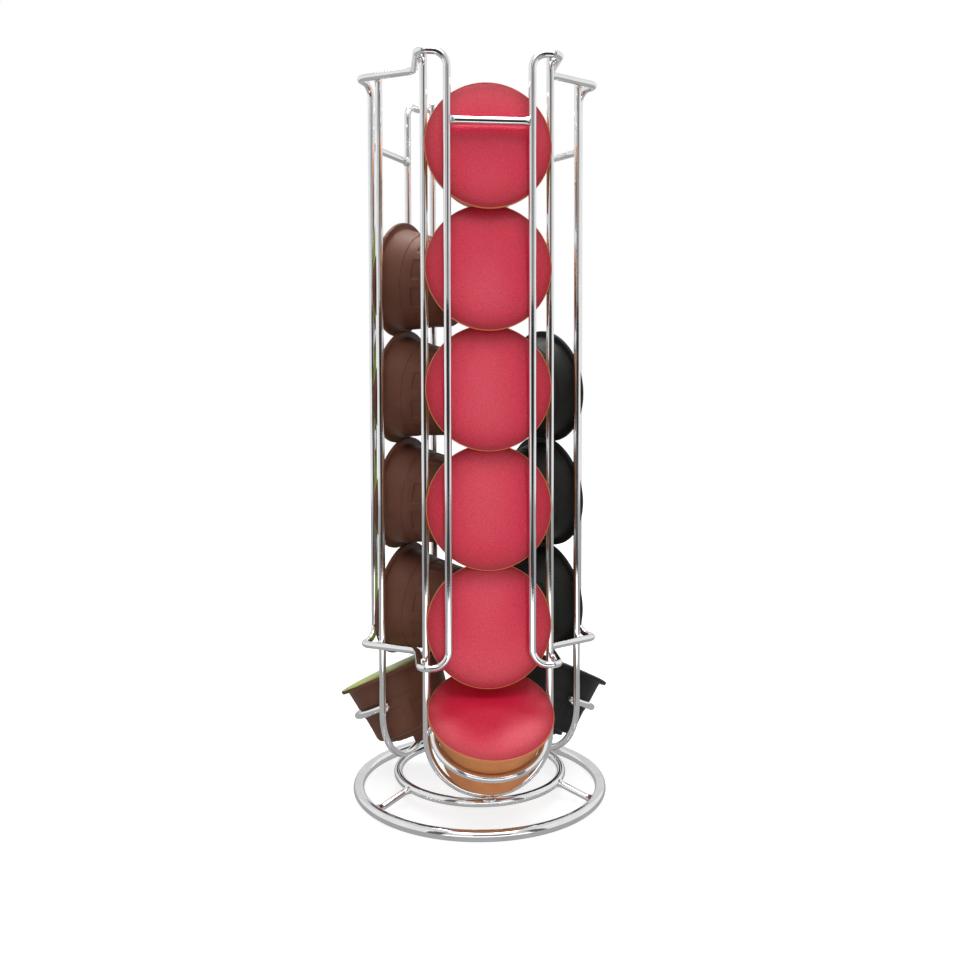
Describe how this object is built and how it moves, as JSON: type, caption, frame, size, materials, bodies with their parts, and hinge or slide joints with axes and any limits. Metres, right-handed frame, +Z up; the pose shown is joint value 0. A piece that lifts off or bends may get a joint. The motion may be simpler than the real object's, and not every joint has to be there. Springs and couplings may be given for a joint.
{
  "type": "coffee capsule holder",
  "caption": "Chrome wire stand on a ring base with upright channels; coffee capsules stack in each channel, slide up and out at the top, and rest on a tilted cradle hoop.",
  "frame": {"origin": "on the worktop under the stand, on the upright axis at the centre of its base rings", "axes": "+Z up along the stand, -Y out of the front channel, +X to the right as seen from the front"},
  "size_m": [0.1304, 0.13, 0.3293],
  "materials": {
    "chrome": "polished",
    "shell_tan": "satin",
    "shell_brown": "satin",
    "shell_black": "satin",
    "lid_red": "matt lacquered foil",
    "lid_green": "matt lacquered foil",
    "lid_maroon": "matt lacquered foil"
  },
  "bodies": {
    "rack": {"outer_ring": "chrome", "inner_ring": "chrome", "left_front_guard": "chrome", "left_front_spoke": "chrome", "right_front_guard": "chrome", "right_front_spoke": "chrome", "rear_guard": "chrome", "rear_spoke": "chrome", "front_rail": "chrome", "front_hoop": "chrome", "front_crossbar": "chrome", "left_rail": "chrome", "left_hoop": "chrome", "left_crossbar": "chrome", "right_rail": "chrome", "right_hoop": "chrome", "right_crossbar": "chrome"},
    "front_capsule_1": {"front_capsule_1_shell": "shell_tan", "front_capsule_1_lid": "lid_red"},
    "front_capsule_2": {"front_capsule_2_shell": "shell_tan", "front_capsule_2_lid": "lid_red"},
    "front_capsule_3": {"front_capsule_3_shell": "shell_tan", "front_capsule_3_lid": "lid_red"},
    "front_capsule_4": {"front_capsule_4_shell": "shell_tan", "front_capsule_4_lid": "lid_red"},
    "front_capsule_5": {"front_capsule_5_shell": "shell_tan", "front_capsule_5_lid": "lid_red"},
    "front_capsule_6": {"front_capsule_6_shell": "shell_tan", "front_capsule_6_lid": "lid_red"},
    "left_capsule_1": {"left_capsule_1_shell": "shell_brown", "left_capsule_1_lid": "lid_green"},
    "left_capsule_2": {"left_capsule_2_shell": "shell_brown", "left_capsule_2_lid": "lid_green"},
    "left_capsule_3": {"left_capsule_3_shell": "shell_brown", "left_capsule_3_lid": "lid_green"},
    "left_capsule_4": {"left_capsule_4_shell": "shell_brown", "left_capsule_4_lid": "lid_green"},
    "left_capsule_5": {"left_capsule_5_shell": "shell_brown", "left_capsule_5_lid": "lid_green"},
    "right_capsule_1": {"right_capsule_1_shell": "shell_black", "right_capsule_1_lid": "lid_maroon"},
    "right_capsule_2": {"right_capsule_2_shell": "shell_black", "right_capsule_2_lid": "lid_maroon"},
    "right_capsule_3": {"right_capsule_3_shell": "shell_black", "right_capsule_3_lid": "lid_maroon"},
    "right_capsule_4": {"right_capsule_4_shell": "shell_black", "right_capsule_4_lid": "lid_maroon"}
  },
  "joints": [
    {"name": "front_capsule_1_lift", "type": "slide", "parent": "rack", "child": "front_capsule_1", "axis": [0, 0, 1], "range_m": [0, 0.015]},
    {"name": "front_capsule_2_lift", "type": "slide", "parent": "front_capsule_1", "child": "front_capsule_2", "axis": [0, 0, 1], "range_m": [0, 0.051]},
    {"name": "front_capsule_3_lift", "type": "slide", "parent": "front_capsule_2", "child": "front_capsule_3", "axis": [0, 0, 1], "range_m": [0, 0.051]},
    {"name": "front_capsule_4_lift", "type": "slide", "parent": "front_capsule_3", "child": "front_capsule_4", "axis": [0, 0, 1], "range_m": [0, 0.051]},
    {"name": "front_capsule_5_lift", "type": "slide", "parent": "front_capsule_4", "child": "front_capsule_5", "axis": [0, 0, 1], "range_m": [0, 0.051]},
    {"name": "front_capsule_6_lift", "type": "slide", "parent": "front_capsule_5", "child": "front_capsule_6", "axis": [0, 0, 1], "range_m": [0, 0.071]},
    {"name": "left_capsule_1_lift", "type": "slide", "parent": "rack", "child": "left_capsule_1", "axis": [0, 0, 1], "range_m": [0, 0.015]},
    {"name": "left_capsule_2_lift", "type": "slide", "parent": "left_capsule_1", "child": "left_capsule_2", "axis": [0, 0, 1], "range_m": [0, 0.051]},
    {"name": "left_capsule_3_lift", "type": "slide", "parent": "left_capsule_2", "child": "left_capsule_3", "axis": [0, 0, 1], "range_m": [0, 0.051]},
    {"name": "left_capsule_4_lift", "type": "slide", "parent": "left_capsule_3", "child": "left_capsule_4", "axis": [0, 0, 1], "range_m": [0, 0.051]},
    {"name": "left_capsule_5_lift", "type": "slide", "parent": "left_capsule_4", "child": "left_capsule_5", "axis": [0, 0, 1], "range_m": [0, 0.122]},
    {"name": "right_capsule_1_lift", "type": "slide", "parent": "rack", "child": "right_capsule_1", "axis": [0, 0, 1], "range_m": [0, 0.015]},
    {"name": "right_capsule_2_lift", "type": "slide", "parent": "right_capsule_1", "child": "right_capsule_2", "axis": [0, 0, 1], "range_m": [0, 0.051]},
    {"name": "right_capsule_3_lift", "type": "slide", "parent": "right_capsule_2", "child": "right_capsule_3", "axis": [0, 0, 1], "range_m": [0, 0.051]},
    {"name": "right_capsule_4_lift", "type": "slide", "parent": "right_capsule_3", "child": "right_capsule_4", "axis": [0, 0, 1], "range_m": [0, 0.173]}
  ]
}
